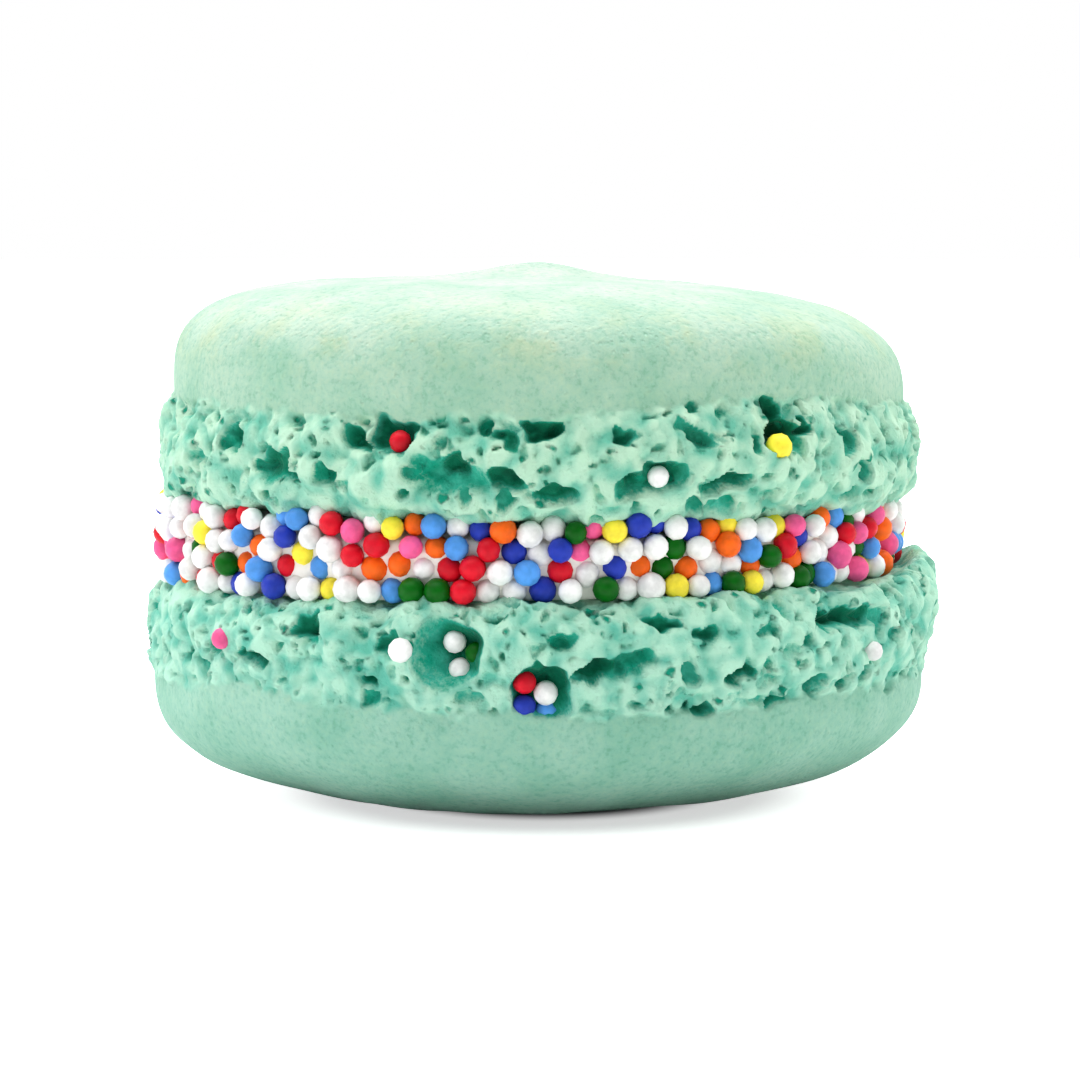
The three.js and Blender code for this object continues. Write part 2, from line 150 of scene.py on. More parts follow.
# Those of them that are clean round bubbles; the rest are torn.
SMOOTH_CAVITIES = [LOWER_CAVITIES[0]]
# The cavities carry painted shade, darkest up under the roof and, in a smooth cavity, towards the right.
ROOF_SHADE = 0.25  # how far up towards its roof a cavity is darkest, as a share of half its height
SMOOTH_SHADE = 0.5  # and how far to the right a smooth one is

# Loose nonpareils in the cavities: place across, height above the ground, depth inside the foot's outline,
# diameter and colour.
UPPER_STRAYS = [
    (-7.85, 22.3, 0.6, 1.3, "red"),
    (13.5, 21.9, -0.15, 1.55, "yellow"),
    (6.85, 20.4, 0.6, 1.25, "white"),
]
LOWER_STRAYS = [
    (-7.4, 10.95, -0.4, 1.4, "white"),
    (-4.85, 11.3, 1.5, 1.35, "white"),
    (-3.55, 10.7, 1.5, 1.35, "green"),
    (-4.55, 9.8, 1.5, 1.35, "white"),
    (-0.75, 9.2, 0.6, 1.3, "red"),
    (0.45, 8.6, 0.6, 1.35, "white"),
    (-0.8, 7.85, 0.6, 1.35, "dark_blue"),
    (0.5, 7.55, 0.9, 1.3, "light_blue"),
    (-18.1, 10.8, 0.2, 1.2, "pink"),
    (18.9, 10.0, -0.3, 1.2, "white"),
]

# Nonpareil colours, as linear red, green and blue, with the share of the beads that have each.
NONPAREILS = {
    "white": ((0.83, 0.83, 0.81), 0.38),
    "red": ((0.66, 0.006, 0.02), 0.12),
    "pink": ((0.87, 0.11, 0.3), 0.1),
    "orange": ((0.9, 0.13, 0.008), 0.125),
    "dark_blue": ((0.02, 0.045, 0.42), 0.09),
    "light_blue": ((0.08, 0.3, 0.74), 0.07),
    "yellow": ((0.92, 0.76, 0.05), 0.065),
    "green": ((0.0, 0.11, 0.003), 0.06),
}

# The photograph's camera: a long lens a little above the macaron. Its frame is square.
CAMERA_PLACE = (AXIS_X + 0.19, -244.0, 34.7)
CAMERA_PITCH = math.radians(-4.57)
CAMERA_LENS = 135.0

FINE = 0.13  # spacing of the points on a foot
COARSE = 0.55  # spacing of the points on a cap
FRONT_PULL = 0.28  # how much closer together the points lie round the front, and farther apart at the back


def smooth_step(low, high, x):
    """0 at low and before it, 1 at high and beyond it, and the cubic 3t^2 - 2t^3 between them."""
    t = np.clip((x - low) / (high - low), 0.0, 1.0)
    return t * t * (3.0 - 2.0 * t)


def waves(points, size, seed, count=14):
    """Rolling unevenness of about -1 to 1: the sum of sine waves, each about size long, that run through
    space in random directions with random phases, scaled to a spread of 1/2."""
    rng = np.random.default_rng(seed)
    way = rng.normal(size=(count, 3))
    way /= np.linalg.norm(way, axis=1, keepdims=True)
    length = size * rng.uniform(0.7, 1.4, count)
    phase = rng.uniform(0.0, 2.0 * math.pi, count)
    turn = points @ (way * (2.0 * math.pi / length[:, None])).T + phase
    return np.sin(turn).sum(axis=1) / math.sqrt(2.0 * count)


def drift(points, size, seed):
    """Three of the wave fields side by side: a small random shift for every point."""
    return np.stack([waves(points, size, seed + 100 * k) for k in range(3)], axis=1)


def foam(points, normals, cell, share, seed, softness):
    """How deep the surface falls into open bubbles, in mm. Space is cut into cubes with sides of cell, and a
    share of the cubes hold a round bubble with a random centre and radius. A point inside a bubble falls
    along its normal to the bubble's far wall, at b + sqrt(b^2 - q^2 + R^2) for a point that lies q from the
    centre, b of it along the normal; softness rounds the rim."""
    table = np.random.default_rng(seed).random((4096, 5))
    home = np.floor(points / cell).astype(np.int64)
    deepest = np.zeros(len(points))
    for step in np.ndindex(3, 3, 3):
        cube = home + np.array(step) - 1
        key = (cube[:, 0] * 73856093 ^ cube[:, 1] * 19349663 ^ cube[:, 2] * 83492791) & 4095
        draw = table[key]
        centre = (cube + 0.15 + 0.7 * draw[:, :3]) * cell
        radius = cell * (0.2 + 0.3 * draw[:, 3])
        away = points - centre
        along = np.einsum("ij,ij->i", away, normals)
        squared = np.einsum("ij,ij->i", away, away)
        fall = along + np.sqrt(np.maximum(0.0, along**2 - squared + radius**2))
        rim = np.clip((radius - np.sqrt(squared)) / softness, 0.0, 1.0)
        deepest = np.maximum(deepest, np.where(draw[:, 4] < share, fall * rim, 0.0))
    return deepest


def florets(points, cell, seed):
    """Rounded lumps with sharp creases between them: 1 - 2 (d / cell)^2, where d is the distance to the
    nearest of the random points that sit one in each cube with sides of cell."""
    table = np.random.default_rng(seed).random((4096, 3))
    home = np.floor(points / cell).astype(np.int64)
    nearest = np.full(len(points), 9.0 * cell * cell)
    for step in np.ndindex(3, 3, 3):
        cube = home + np.array(step) - 1
        key = (cube[:, 0] * 73856093 ^ cube[:, 1] * 19349663 ^ cube[:, 2] * 83492791) & 4095
        away = points - (cube + table[key]) * cell
        nearest = np.minimum(nearest, np.einsum("ij,ij->i", away, away))
    return 1.0 - 2.0 * nearest / cell**2


def shell_profile(shell):
    """The shell's outline from the pole down to the middle of the inner face, as a fine run of points: its
    arc length, radius, share of the cap's height, share of the foot's height, and tangent. The cap is a
    superellipse, r = R cos^(2/p) and z = H sin^(2/p). The foot bulges as a parabola above its widest line
    and curls in as a quarter ellipse below it."""
    turn = np.linspace(math.pi / 2, 0.0, 1500)
    power = 2.0 / shell["cap_power"]
    cap_r = shell["cap_radius"] * np.maximum(np.cos(turn), 0.0) ** power
    cap_share = np.sin(turn) ** power
    foot_share = np.linspace(1.0, 0.0, 1500)[1:]
    above = np.clip((foot_share - BULGE_SHARE) / (1.0 - BULGE_SHARE), 0.0, 1.0)
    below = np.clip((BULGE_SHARE - foot_share) / BULGE_SHARE, 0.0, 1.0)
    foot_r = np.where(
        foot_share >= BULGE_SHARE,
        shell["foot_radius"] - (shell["foot_radius"] - shell["cap_radius"]) * above**2,
        shell["edge_radius"] + (shell["foot_radius"] - shell["edge_radius"]) * np.sqrt(1.0 - below**2),
    )
    face_r = np.linspace(shell["edge_radius"], 0.0, 400)[1:]
    radius = np.concatenate([cap_r, foot_r, face_r])
    cap = np.concatenate([cap_share, np.zeros(len(foot_r) + len(face_r))])
    foot = np.concatenate([np.ones(len(cap_r)), foot_share, np.zeros(len(face_r))])
    top = shell["foot_height"] + shell["cap_height"]
    height = foot * shell["foot_height"] + cap * (top - shell["foot_height"])
    step = np.hypot(np.diff(radius), np.diff(height))
    arc = np.concatenate([[0.0], np.cumsum(step)])
    border = arc[len(cap_r) - 1]
    edge = arc[len(cap_r) + len(foot_r) - 1]
    return dict(arc=arc, radius=radius, cap=cap, foot=foot, height=height, border=border, edge=edge)


def smooth_slopes(profile, places):
    """The profile's unit tangent at each place: the way from 0.6 mm before it to 0.6 mm after it, so that the
    direction turns without a kink."""
    before, after = places - 0.6, places + 0.6
    change = [np.interp(after, profile["arc"], profile[key]) - np.interp(before, profile["arc"], profile[key])
              for key in ("radius", "height")]
    length = np.hypot(*change)
    return change[0] / length, change[1] / length


def ring_plan(profile):
    """Arc lengths of the shell's rings and how many points each has: fine on the foot and coarse elsewhere,
    with a power of two of points, at most doubling or halving from one ring to the next."""
    arcs = []
    arc = 0.0
    end = profile["arc"][-1]
    while arc < end - 0.3:
        before, after = profile["border"] - arc, arc - profile["edge"]
        spacing = COARSE if before > 4.0 else 2 * FINE if before > 1.6 else FINE
        if after > 0.6:
            spacing = min(1.6, 2 * FINE + 0.5 * (after - 0.6))
        arc += spacing
        arcs.append((min(arc, end), spacing))
    arcs = arcs[:-1]
    counts = []
    for place, spacing in arcs:
        around = 2.0 * math.pi * float(np.interp(place, profile["arc"], profile["radius"]))
        counts.append(2 ** int(round(math.log2(max(8.0, around / spacing)))))
    for i in range(1, len(counts)):
        counts[i] = min(counts[i], 2 * counts[i - 1])
    for i in range(len(counts) - 2, -1, -1):
        counts[i] = min(counts[i], 2 * counts[i + 1])
    return np.array([place for place, _ in arcs]), counts


def ring_faces(counts):
    """Faces between rings of points, from the first pole to the last. Rings of one size are joined by
    quads, a ring and one of twice its size by fans of three triangles, and each end closes on a point."""
    starts = np.concatenate([[0], np.cumsum([1, *counts])])
    quads, triangles = [], []
    i = np.arange(counts[0])
    triangles.append(np.stack([0 * i, starts[1] + i, starts[1] + (i + 1) % counts[0]], axis=1))
    for r in range(len(counts) - 1):
        a, b = starts[r + 1], starts[r + 2]
        above, below = counts[r], counts[r + 1]
        i = np.arange(min(above, below))
        following = (i + 1) % min(above, below)
        if above == below:
            quads.append(np.stack([a + i, b + i, b + following, a + following], axis=1))
        elif below == 2 * above:
            low, mid, high = b + 2 * i, b + 2 * i + 1, b + (2 * i + 2) % below
            triangles.append(np.stack([a + i, low, mid], axis=1))
            triangles.append(np.stack([a + i, mid, a + following], axis=1))
            triangles.append(np.stack([a + following, mid, high], axis=1))
        else:
            low, mid, high = a + 2 * i, a + 2 * i + 1, a + (2 * i + 2) % above
            triangles.append(np.stack([low, b + i, mid], axis=1))
            triangles.append(np.stack([mid, b + i, b + following], axis=1))
            triangles.append(np.stack([mid, b + following, high], axis=1))
    i = np.arange(counts[-1])
    last = starts[len(counts)]
    end = starts[-1]
    triangles.append(np.stack([last + i, 0 * i + end, last + (i + 1) % counts[-1]], axis=1))
    return np.concatenate(quads), np.concatenate(triangles)


def bell(angle, at, spread):
    """A bell curve round the axis, 1 at the angle at and 1/e at spread from it, both in degrees."""
    away = (np.degrees(angle) - at + 180.0) % 360.0 - 180.0
    return np.exp(-((away / spread) ** 2))


def swell_of(shell, angle):
    """How far the line between cap and foot leaves its mean height: a bell curve at each listed angle, a
    slow wobble of two, three and five waves round the shell, and a lean."""
    lean = shell["border_lean"] * shell["cap_radius"] * np.cos(angle)
    total = 0.15 * wobble(angle, shell["seed"] + 1) - lean
    for at, spread, rise in shell["swells"]:
        total = total + rise * bell(angle, at, spread)
    return total


def slump_of(shell, angle):
    """How far one side of the cap's shoulder has sunk: a bell curve round the listed angle."""
    at, spread, depth = shell["slump"]
    return depth * bell(angle, at, spread)


def wobble(angle, seed):
    """A slow wobble round the axis, from -1 to 1."""
    return (
        0.5 * np.sin(2 * angle + seed)
        + 0.3 * np.sin(3 * angle + 2.3 * seed)
        + 0.2 * np.sin(5 * angle + 3.7 * seed)
    )


def flat_depth(shell):
    """How much of the cap's height the flat spot takes off."""
    share = (shell["flat_radius"] / shell["cap_radius"]) ** shell["cap_power"]
    return shell["cap_height"] * (1.0 - (1.0 - share) ** (1.0 / shell["cap_power"]))


def to_macaron(shell, points):
    """Carries points from a shell's own frame to where it lies in the macaron: flipped over if it is the
    lower one, then tilted about Y and raised to its contact plane."""
    x, y, z = points.T
    if shell["flipped"]:
        y, z = -y, -z
    cos, sin = math.cos(shell["tilt"]), math.sin(shell["tilt"])
    return np.stack(
        [x * cos + z * sin + shell["centre_x"] + AXIS_X, y, z * cos - x * sin + shell["contact_z"]], axis=1
    )


def on_foot(shell, across, up):
    """Angle and height, in the shell's own frame, of a place given across and up on the macaron's front."""
    reach = min(0.98, max(-0.98, (across - shell["centre_x"]) / shell["foot_radius"]))
    x = shell["foot_radius"] * reach
    y = -math.sqrt(shell["foot_radius"] ** 2 - x * x)
    z = up - shell["contact_z"] + x * math.sin(shell["tilt"])
    if shell["flipped"]:
        y, z = -y, -z
    return math.atan2(y, x), z


def foot_radius_at(shell, z):
    """Radius of the foot's outline at a height above the inner face."""
    widest = BULGE_SHARE * shell["foot_height"]
    if z >= widest:
        share = (z - widest) / (shell["foot_height"] - widest)
        return shell["foot_radius"] - (shell["foot_radius"] - shell["cap_radius"]) * share * share
    share = (widest - z) / widest
    curl = math.sqrt(max(0.0, 1.0 - share**2))
    return shell["edge_radius"] + (shell["foot_radius"] - shell["edge_radius"]) * curl


def scoops(shell, cavities, points, squareness=2.6, aside=0.0):
    """Depth and painted shade of the listed cavities. Each is a bowl over a slanted superellipse: with rho
    the distance from its middle as a share of it, it falls by deep * (1 - rho^2)^(3/4), where deep is at most
    its narrow side plus 0.3. Its painted shade is deep * (1 - rho^2)^(1/2), with the middle moved up under
    the roof and aside to the right, where shade falls. On the flipped shell both of these ways are turned
    round."""
    deepest = np.zeros(len(points))
    deepest_painted_shade = np.zeros(len(points))
    turn = np.arctan2(points[:, 1], points[:, 0])
    way = -1.0 if shell["flipped"] else 1.0

    def bowl(u, v, power):
        rho = np.minimum(1.0, (np.abs(u) ** squareness + np.abs(v) ** squareness) ** (1 / squareness))
        return (1.0 - rho**2) ** power

    for across, up, wide, high, deep, slant in cavities:
        angle, z = on_foot(shell, across, up)
        lean = math.radians(slant)
        along = ((turn - angle + math.pi) % (2 * math.pi) - math.pi) * foot_radius_at(shell, z)
        rise = points[:, 2] - z
        u = (along * math.cos(lean) + rise * math.sin(lean)) / (0.55 * wide)
        v = (rise * math.cos(lean) - along * math.sin(lean)) / (0.55 * high)
        inside = bowl(u, v, 0.75)
        deepest = np.maximum(deepest, min(deep, min(wide, high) + 0.3) * inside)
        # Painted shade: its middle is moved up under the roof and aside to the right.
        painted_shade = deep * bowl(u - way * aside, v - way * ROOF_SHADE, 0.5)
        deepest_painted_shade = np.maximum(deepest_painted_shade, painted_shade * smooth_step(0.0, 0.3, inside))
    return deepest, deepest_painted_shade


def shell_surface(shell, cavities):
    """A whole shell: the profile carried round the axis, its cap rolling gently, and its foot raised in
    lumps and eaten away by bubbles of three sizes and the listed cavities. A point of the foot moves along
    its normal by lumps - pores, and slides towards the shadier side of a pore by 0.15 of its depth, so
    that the pore's roof hangs over. Returns points in mm, faces, and at every point how deep the pores'
    painted shade is, the foot's share, and how much it stands out as a ridge, which sets a painted
    highlight on lumps and painted shade in the creases between them."""
    profile = shell_profile(shell)
    places, counts = ring_plan(profile)
    arc = np.repeat(places, counts)
    angle = np.concatenate([np.arange(n) * (2.0 * math.pi / n) for n in counts])
    angle = angle + FRONT_PULL * (1.0 if shell["flipped"] else -1.0) * np.cos(angle)

    def along_profile(key):
        return np.interp(arc, profile["arc"], profile[key])

    seed = shell["seed"]
    cap, foot = along_profile("cap"), along_profile("foot")
    radius = along_profile("radius") * (1.0 + 0.008 * wobble(angle, seed))
    edge_share = (1.0 - foot) ** 2 * radius / shell["foot_radius"]
    sideways_shift = shell["foot_shift"] * np.sin(math.pi * foot) + shell["edge_shift"] * edge_share
    radius = radius + sideways_shift * np.cos(angle)
    border = shell["foot_height"] + swell_of(shell, angle)
    top = shell["foot_height"] + shell["cap_height"]
    x, y = radius * np.cos(angle), radius * np.sin(angle)
    z = border * foot + (top - shell["cap_lean"] * x - border) * cap
    z = z - slump_of(shell, angle) * np.sin(math.pi * cap)
    z = z + shell["nipple_height"] * np.exp(-((radius / NIPPLE_RADIUS) ** 2)) * np.minimum(1.0, 4.0 * cap)
    if shell["flat_radius"] > 0:
        z = np.minimum(z, top - shell["cap_lean"] * x - flat_depth(shell))
    sideways = np.exp(-(((angle + math.pi) % (2 * math.pi) - math.pi) / LIP_SPREAD) ** 2)
    lip = shell["lip"] * sideways * smooth_step(LIP_START, LIP_END, radius)
    z = z - lip * smooth_step(1.0, 0.3, foot)
    base = np.stack([x, y, z], axis=1)
    slope_r, slope_z = smooth_slopes(profile, arc)
    normal = np.stack([-slope_z * np.cos(angle), -slope_z * np.sin(angle), slope_r], axis=1)
    towards_cap = np.stack([-slope_r * np.cos(angle), -slope_r * np.sin(angle), -slope_z], axis=1)

    ragged = 0.3 * waves(base, 2.2, seed + 40) + 0.14 * waves(base, 0.8, seed + 41)
    foot_share = smooth_step(profile["border"] - 0.25, profile["border"] + 0.15, arc + ragged)
    on_face = smooth_step(profile["edge"] + 0.1, profile["edge"] + 1.4, arc)
    open_foot = foot_share * (1.0 - on_face)

    stirred = base + 0.32 * drift(base, 2.0, seed + 1) + 0.07 * drift(base, 0.7, seed + 2)
    flattened = stirred * np.array([1.0, 1.0, 1.3])
    pores = 1.1 * np.tanh(foam(flattened, normal, 2.4, 0.3, seed + 3, 0.08) / 1.1)
    pores = np.maximum(pores, 0.9 * np.tanh(foam(flattened, normal, 1.5, 0.5, seed + 4, 0.07) / 0.9))
    pores = np.maximum(pores, 0.5 * np.tanh(foam(flattened, normal, 0.85, 0.6, seed + 5, 0.06) / 0.5))
    ragged_place = base + 0.26 * drift(base, 1.6, seed + 6) + 0.12 * drift(base, 1.0, seed + 7)
    pores = pores * (0.3 + 0.7 * smooth_step(profile["edge"] - 0.3, profile["edge"] - 1.6, arc))
    torn = [cavity for cavity in cavities if cavity not in SMOOTH_CAVITIES]
    torn_ones, torn_painted_shade = scoops(shell, torn, ragged_place)
    # Painted shade of the pores: the material paints them darker as this value grows.
    painted_shade = np.maximum(pores, np.maximum(0.6 * torn_ones, torn_painted_shade))
    torn_reach = 0.8 + 1.7 * smooth_step(profile["edge"] - 1.0, profile["edge"] - 4.2, arc)
    pores = np.maximum(pores, torn_reach * np.tanh(torn_ones / torn_reach))
    floors = 0.2 * waves(base, 1.1, seed + 18) + 0.06 * waves(base, 0.6, seed + 19)
    pores = pores + floors * smooth_step(0.5, 1.0, pores)
    clean = [cavity for cavity in cavities if cavity in SMOOTH_CAVITIES]
    stirred_place = base + 0.16 * drift(base, 2.5, seed + 6)
    smooth_ones, smooth_painted_shade = scoops(shell, clean, stirred_place, 2.0, SMOOTH_SHADE)
    pores = np.where(smooth_ones > 0.05, smooth_ones, pores)
    painted_shade = np.where(smooth_ones > 0.05, np.maximum(0.35 * smooth_ones, 0.8 * smooth_painted_shade), painted_shade)
    below_cap = (arc + ragged - profile["border"] - 0.5) / 0.3
    pores = np.maximum(pores, 0.45 * np.exp(-(below_cap**2)) * np.maximum(0.0, waves(base, 1.6, seed + 14)))
    reach = 0.7 + 2.3 * smooth_step(profile["edge"] - 0.3, profile["edge"] - 2.6, arc)
    pores = reach * np.tanh(pores / reach) * open_foot
    painted_shade = np.maximum(painted_shade, np.minimum(pores, 0.45)) * open_foot

    knobs = 0.28 * florets(stirred, 1.8, seed + 15) + 0.13 * florets(stirred, 0.75, seed + 16)
    # Painted highlight on the lumps and painted shade in the creases between them, varied by a slow wave.
    ridge_highlight = np.clip(0.55 + 1.6 * (knobs - 0.12) + 0.35 * waves(base, 1.3, seed + 17), 0.0, 1.0)
    lumps = 0.3 * waves(base, 5.0, seed + 9) + 0.14 * waves(base, 2.1, seed + 10) + knobs - 0.15
    rolling = 0.1 * waves(base, 11.0, seed + 12) + 0.04 * waves(base, 4.0, seed + 13)
    raised = open_foot * lumps + (1.0 - foot_share) * rolling * np.minimum(1.0, radius / 4.0)
    if shell["flat_radius"] > 0:
        beyond_flat = smooth_step(shell["flat_radius"], shell["flat_radius"] + 5.0, radius)
        raised = raised * np.where(cap > 0, beyond_flat, 1.0)
    roof = -1.0 if shell["flipped"] else 1.0
    points = base + normal * (raised - pores)[:, None] + towards_cap * (roof * 0.15 * pores)[:, None]

    pole_z = (top - flat_depth(shell)) if shell["flat_radius"] > 0 else top + shell["nipple_height"]
    points = np.concatenate([[[0.0, 0.0, pole_z]], points, [[0.0, 0.0, 0.0]]])
    ends = np.array([0.0])
    painted_shade = np.concatenate([ends, painted_shade, ends])
    ridge_highlight = np.concatenate([ends, ridge_highlight, ends])
    foot_share = np.concatenate([ends, foot_share, ends + 1.0])
    values = {"pore_painted_shade": painted_shade, "foot_share": foot_share, "ridge_highlight": ridge_highlight}
    return to_macaron(shell, points), ring_faces(counts), values


def make_piece(name, points, faces, material, attributes=None):
    """A mesh object from an array of points in mm and arrays of quads and triangles, with a value at every
    point for each named attribute. Its object stays at the origin."""
    mesh = bpy.data.meshes.new(name)
    blocks = [np.asarray(block) for block in faces if len(block)]
    loops = np.concatenate([block.ravel() for block in blocks]).astype(np.int32)
    sizes = np.concatenate([np.full(len(block), block.shape[1]) for block in blocks])
    mesh.vertices.add(len(points))
    mesh.vertices.foreach_set("co", (points * MM).astype(np.float32).ravel())
    mesh.loops.add(len(loops))
    mesh.loops.foreach_set("vertex_index", loops)
    mesh.polygons.add(len(sizes))
    mesh.polygons.foreach_set("loop_start", np.concatenate([[0], np.cumsum(sizes)[:-1]]).astype(np.int32))
    mesh.polygons.foreach_set("use_smooth", np.full(len(sizes), True))
    mesh.update(calc_edges=True)
    for key, values in (attributes or {}).items():
        mesh.attributes.new(key, "FLOAT", "POINT").data.foreach_set("value", values.astype(np.float32))
    mesh.validate()
    mesh.materials.append(material)
    piece = bpy.data.objects.new(name, mesh)
    bpy.context.scene.collection.objects.link(piece)
    return piece


def random_stream(seed):
    """The CAD model's repeatable stream of numbers from 0 to 1 (the mulberry32 rule)."""
    state = seed
    while True:
        state = (state + 0x6D2B79F5) & 0xFFFFFFFF
        t = ((state ^ (state >> 15)) * (state | 1)) & 0xFFFFFFFF
        t = (t ^ ((t + (((t ^ (t >> 7)) * (t | 61)) & 0xFFFFFFFF)) & 0xFFFFFFFF)) & 0xFFFFFFFF
        yield ((t ^ (t >> 14)) & 0xFFFFFFFF) / 4294967296.0


def contact_height(shell, x):
    """Height of a shell's inner face at a place across the macaron."""
    return shell["contact_z"] - math.tan(shell["tilt"]) * (x - shell["centre_x"])


def filling_low(x):
    """Height of the filling's lower face at a place across the macaron."""
    return contact_height(LOWER, x) + CONTACT_GAP


def filling_thickness(x):
    """Height of the filling's upper face above its lower one, at a place across the macaron."""
    return contact_height(UPPER, x) - CONTACT_GAP - filling_low(x)


def bead_places():
    """Places of the nonpareils on the filling's wall: arc length round it, height above its lower face, how
    far out of it, and diameter. They start evenly spread, the larger ones mostly low down, and in each round
    every two that overlap, at p and q and with a mean diameter of d, move apart along the line between
    them, each by a quarter of d - |p - q|."""
    draw = random_stream(BEAD_SEED)
    length = 2.0 * math.pi * CREAM_RADIUS
    index = np.arange(1, BEAD_COUNT + 1)
    share = (0.5 + index * 0.5698402909) % 1.0
    draws = np.array([[next(draw), next(draw)] for _ in index])
    diameter = BEAD_SMALLEST + (BEAD_LARGEST - BEAD_SMALLEST) * (0.65 * draws[:, 0] + 0.35 * (1.0 - share))
    wanted = 0.5 * (diameter[None, :] + diameter[:, None])

    def height_at(place):
        return filling_thickness(CREAM_CENTRE_X + CREAM_RADIUS * np.cos(place / CREAM_RADIUS))

    along = length * ((0.5 + index * 0.7548776662) % 1.0)
    out = BEAD_OUT_LEAST + (BEAD_OUT_MOST - BEAD_OUT_LEAST) * draws[:, 1]
    tuck = (0.45 * draws[:, 1] - 0.15) * diameter
    places = np.stack([along, share * height_at(along), out], axis=1)
    for _ in range(RELAX_ROUNDS):
        away = places[None, :, :] - places[:, None, :]
        away[:, :, 0] = (away[:, :, 0] + 1.5 * length) % length - 0.5 * length
        apart = np.sqrt((away**2).sum(axis=2))
        close = (apart < wanted) & (apart > 1e-9)
        push = np.where(close, 0.25 * (wanted - apart) / np.where(close, apart, 1.0), 0.0)
        places = places - (push[:, :, None] * away).sum(axis=1)
        places[:, 0] = (places[:, 0] + length) % length
        places[:, 1] = np.clip(places[:, 1], 0.4 * diameter, height_at(places[:, 0]) - tuck)
        places[:, 2] = np.clip(places[:, 2], BEAD_OUT_LEAST, BEAD_OUT_MOST)
    return places[:, 0], places[:, 1], places[:, 2], diameter


def ball(across=12, down=6):
    """A unit ball: rings of points at even steps from pole to pole, closed by a point at each end."""
    polar = np.repeat(np.arange(1, down) * (math.pi / down), across)
    turn = np.tile(np.arange(across) * (2.0 * math.pi / across), down - 1)
    rings = np.stack([np.sin(polar) * np.cos(turn), np.sin(polar) * np.sin(turn), np.cos(polar)], axis=1)
    points = np.concatenate([[[0.0, 0.0, 1.0]], rings, [[0.0, 0.0, -1.0]]])
    return points, ring_faces([across] * (down - 1))


def many_balls(centres, diameters, seed):
    """One mesh of slightly egg-shaped balls: the unit ball turned at random, stretched by up to 4% along
    each axis, scaled and carried to every centre, all as one array. Each ball has a tint of its own."""
    shape, (quads, triangles) = ball()
    rng = np.random.default_rng(seed)
    turns, _ = np.linalg.qr(rng.normal(size=(len(centres), 3, 3)))
    turns = turns * np.sign(np.linalg.det(turns))[:, None, None]
    stretch = 1.0 + rng.uniform(-0.04, 0.04, (len(centres), 1, 3))
    turned = np.einsum("pj,njk->npk", shape, turns) * stretch
    points = centres[:, None, :] + 0.5 * diameters[:, None, None] * turned
    first = np.arange(len(centres))[:, None, None] * len(shape)
    tint = np.repeat(rng.uniform(-1.0, 1.0, len(centres)), len(shape))
    return points.reshape(-1, 3), ((quads + first).reshape(-1, 4), (triangles + first).reshape(-1, 3)), tint


def stray_places(shell, strays):
    """Centres of the loose nonpareils of a foot."""
    centres = []
    for across, up, inside, _, _ in strays:
        angle, z = on_foot(shell, across, up)
        radius = foot_radius_at(shell, z) - inside
        centres.append((radius * math.cos(angle), radius * math.sin(angle), z))
    return to_macaron(shell, np.array(centres))


def cream_surface():
    """The cream: a wall that bulges by the sine of its height share and rolls in waves, between two flat
    faces that reach to the middle."""
    columns, rows = 512, 26
    share = np.linspace(1.0, 0.0, rows)
    angle = np.arange(columns) * (2.0 * math.pi / columns)
    share, angle = (grid.ravel() for grid in np.meshgrid(share, angle, indexing="ij"))
    rim = CREAM_RADIUS - 0.35 + 0.45 * np.sin(math.pi * share) ** 0.6 - 1.7 * smooth_step(0.74, 1.0, share)
    flat = np.stack([rim * np.cos(angle), rim * np.sin(angle), 4.0 * share], axis=1)
    rim = rim + 0.16 * waves(flat, 4.0, 301) + 0.09 * waves(flat, 1.5, 302)
    x = CREAM_CENTRE_X + rim * np.cos(angle)
    points = np.stack([x, rim * np.sin(angle), filling_low(x) + share * filling_thickness(x)], axis=1)
    low = filling_low(CREAM_CENTRE_X)
    top = [[CREAM_CENTRE_X, 0.0, low + filling_thickness(CREAM_CENTRE_X)]]
    points = np.concatenate([top, points, [[CREAM_CENTRE_X, 0.0, low]]])
    points[:, 0] += AXIS_X
    return points, ring_faces([columns] * rows)


def node(tree, kind, **values):
    """A shader node with its properties set, and its inputs where a value's name is one of them."""
    made = tree.nodes.new(kind)
    for key, value in values.items():
        if key in made.inputs:
            made.inputs[key].default_value = value
        else:
            setattr(made, key, value)
    return made


def range_node(tree, socket, low, high, to_low=0.0, to_high=1.0, smooth=False):
    """A value carried from the range low to high over to the range to_low to to_high, and kept inside it."""
    made = node(tree, "ShaderNodeMapRange", interpolation_type="SMOOTHSTEP" if smooth else "LINEAR")
    for key, value in (("From Min", low), ("From Max", high), ("To Min", to_low), ("To Max", to_high)):
        made.inputs[key].default_value = value
    tree.links.new(socket, made.inputs["Value"])
    return made.outputs["Result"]


def new_material(name):
    """A new material, with its tree, the tree's link function, its shader and its coordinates node."""
    material = bpy.data.materials.new(name)
    material.use_nodes = True
    tree = material.node_tree
    place = tree.nodes.new("ShaderNodeTexCoord")
    return material, tree, tree.links.new, tree.nodes["Principled BSDF"], place


